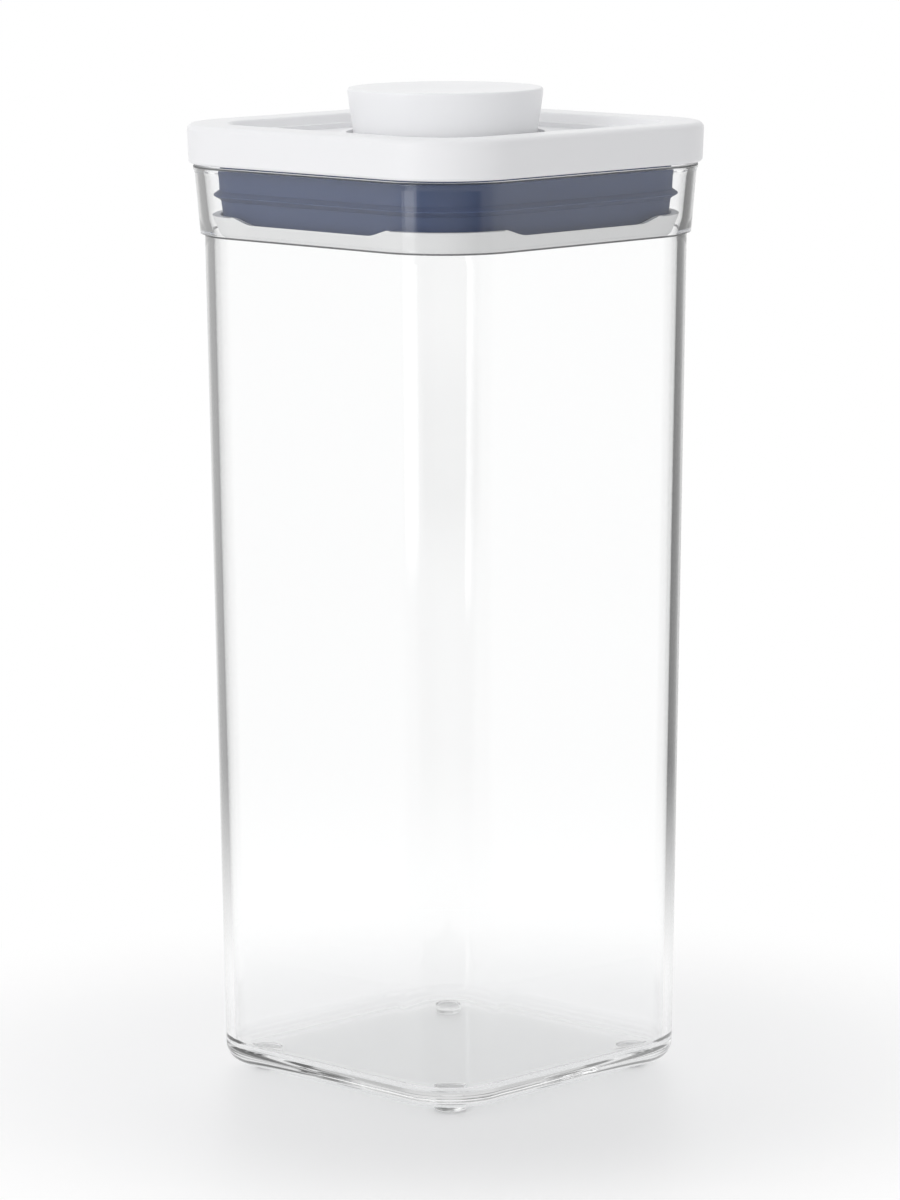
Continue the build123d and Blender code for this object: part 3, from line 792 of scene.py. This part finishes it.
# 1 for rays that show the background, and how bright it is for them: white when seen directly or
# through clear plastic, dimmer in the tent's open front and after reflections inside the plastic
def addSeenLevel(nodes, links, direction, distance=None):
    ray = nodes.new("ShaderNodeLightPath")
    gloss, through = ray.outputs["Is Glossy Ray"], ray.outputs["Is Transmission Ray"]
    depth = ray.outputs["Glossy Depth"]
    seen = combine(nodes, links, "MAXIMUM", ray.outputs["Is Camera Ray"], gloss)
    seen = combine(nodes, links, "MAXIMUM", seen, through)
    unit = addNode(nodes, "ShaderNodeVectorMath", operation="NORMALIZE")
    links.new(levelPart(nodes, links, direction), unit.inputs[0])
    heading = unit.outputs["Vector"]
    panel = sectorMask(nodes, links, heading, "panel")
    turned = combine(nodes, links, "MINIMUM", depth, through)
    turned = combine(nodes, links, "MAXIMUM", turned, caughtMask(nodes, links, ray))
    if distance is not None:
        wide = rangeMask(nodes, links, distance, studioLook["panelDistance"])
        panel = combine(nodes, links, "MULTIPLY", panel, wide)
        inside = rangeMask(nodes, links, distance, studioLook["insideDistance"])
        turned = combine(nodes, links, "MULTIPLY", turned, inside)

    # refraction counts as glossy too, so only rays with a reflection behind them see the open front
    mirrored = combine(nodes, links, "MINIMUM", gloss, depth)
    change = frontChange(nodes, links, heading, panel, distance)
    change = combine(nodes, links, "MULTIPLY", change, mirrored)
    frontLevel = multiplyAdd(nodes, links, change, 1, 1)
    loss = combine(nodes, links, "MULTIPLY", insideChange(nodes, links, heading, panel), turned)
    clear = multiplyAdd(nodes, links, through, studioLook["throughGain"], 1)
    insideLevel = combine(nodes, links, "ADD", clear, loss)
    return seen, combine(nodes, links, "MULTIPLY", frontLevel, insideLevel)


# pale floor, which is pure white away from the object
floorLook = {
    "radius": 4.0,
    "steps": 96,
    "height": -0.0001,
    "colour": (0.93, 0.925, 0.93),
    "roughness": 0.45,
    "lift": 0.06,
    "fade": (0.075, 0.19),
}


def buildFloor(look):
    mesh = bmesh.new()
    bmesh.ops.create_circle(mesh, cap_ends=True, segments=look["steps"], radius=look["radius"],
                            matrix=Matrix.Translation((0, 0, look["height"])))
    data = bpy.data.meshes.new("floor")
    mesh.to_mesh(data)
    mesh.free()
    floor = bpy.data.objects.new("floor", data)
    collection.objects.link(floor)
    material, nodes, links = startMaterial("paleFloor")
    data.materials.append(material)
    place = nodes.new("ShaderNodeTexCoord")
    reach = addNode(nodes, "ShaderNodeVectorMath", operation="LENGTH")
    links.new(place.outputs["Object"], reach.inputs[0])
    seen, level = addSeenLevel(nodes, links, place.outputs["Object"], reach.outputs["Value"])
    fade = rangeMask(nodes, links, reach.outputs["Value"], look["fade"])
    shader = nodes.new("ShaderNodeBsdfPrincipled")
    shader.inputs["Base Color"].default_value = rgb(*look["colour"])
    shader.inputs["Roughness"].default_value = look["roughness"]
    lifted = nodes.new("ShaderNodeEmission")
    sheen = nodes.new("ShaderNodeAddShader")
    glow = nodes.new("ShaderNodeEmission")
    mix = nodes.new("ShaderNodeMixShader")
    output = nodes.new("ShaderNodeOutputMaterial")
    links.new(scaled(nodes, links, seen, look["lift"]), lifted.inputs["Strength"])
    links.new(shader.outputs["BSDF"], sheen.inputs[0])
    links.new(lifted.outputs["Emission"], sheen.inputs[1])
    links.new(level, glow.inputs["Strength"])
    links.new(combine(nodes, links, "MULTIPLY", fade, seen), mix.inputs["Fac"])
    links.new(sheen.outputs["Shader"], mix.inputs[1])
    links.new(glow.outputs["Emission"], mix.inputs[2])
    links.new(mix.outputs["Shader"], output.inputs["Surface"])


buildFloor(floorLook)


# soft studio light
lightSetup = {
    "ambient": 0.61,
    "ambientColour": (0.99, 0.995, 1.0),
    "lamps": (
        # name, place, aim, width, height, watts
        ("keyPanel", (0.0, -1.55, 0.85), (0, 0, 0.15), 0.9, 0.9, 7.9),
        ("frontFill", (1.15, -1.25, 0.35), (0, 0, 0.2), 0.5, 0.5, 1.3),
        ("backPanel", (-1.15, 1.05, 0.45), (0, 0, 0.2), 0.8, 0.8, 2.4),
        ("topPanel", (-0.55, 0.35, 1.6), (0, 0, 0.15), 0.9, 0.9, 3.9),
    ),
}


def buildLight(setup):
    world = bpy.data.worlds.new("studio")
    bpy.context.scene.world = world
    world.use_nodes = True
    nodes, links = world.node_tree.nodes, world.node_tree.links
    nodes.clear()
    backdrop = nodes.new("ShaderNodeBackground")
    backdrop.inputs["Color"].default_value = rgb(1, 1, 1)
    ambient = addNode(nodes, "ShaderNodeBackground", Strength=setup["ambient"])
    ambient.inputs["Color"].default_value = rgb(*setup["ambientColour"])
    mix = nodes.new("ShaderNodeMixShader")
    output = nodes.new("ShaderNodeOutputWorld")
    place = nodes.new("ShaderNodeTexCoord")
    seen, level = addSeenLevel(nodes, links, place.outputs["Generated"])
    links.new(level, backdrop.inputs["Strength"])
    links.new(seen, mix.inputs["Fac"])
    links.new(ambient.outputs["Background"], mix.inputs[1])
    links.new(backdrop.outputs["Background"], mix.inputs[2])
    links.new(mix.outputs["Shader"], output.inputs["Surface"])
    for name, place, aim, width, height, watts in setup["lamps"]:
        data = bpy.data.lights.new(name, "AREA")
        data.shape = "RECTANGLE"
        data.size, data.size_y, data.energy = width, height, watts
        lamp = bpy.data.objects.new(name, data)
        lamp.location = place
        lamp.rotation_euler = (Vector(aim) - Vector(place)).to_track_quat("-Z", "Y").to_euler()
        lamp.visible_camera = lamp.visible_glossy = lamp.visible_transmission = False
        collection.objects.link(lamp)


buildLight(lightSetup)
bpy.context.scene.view_settings.view_transform = "Standard"
print("floor and light ready")
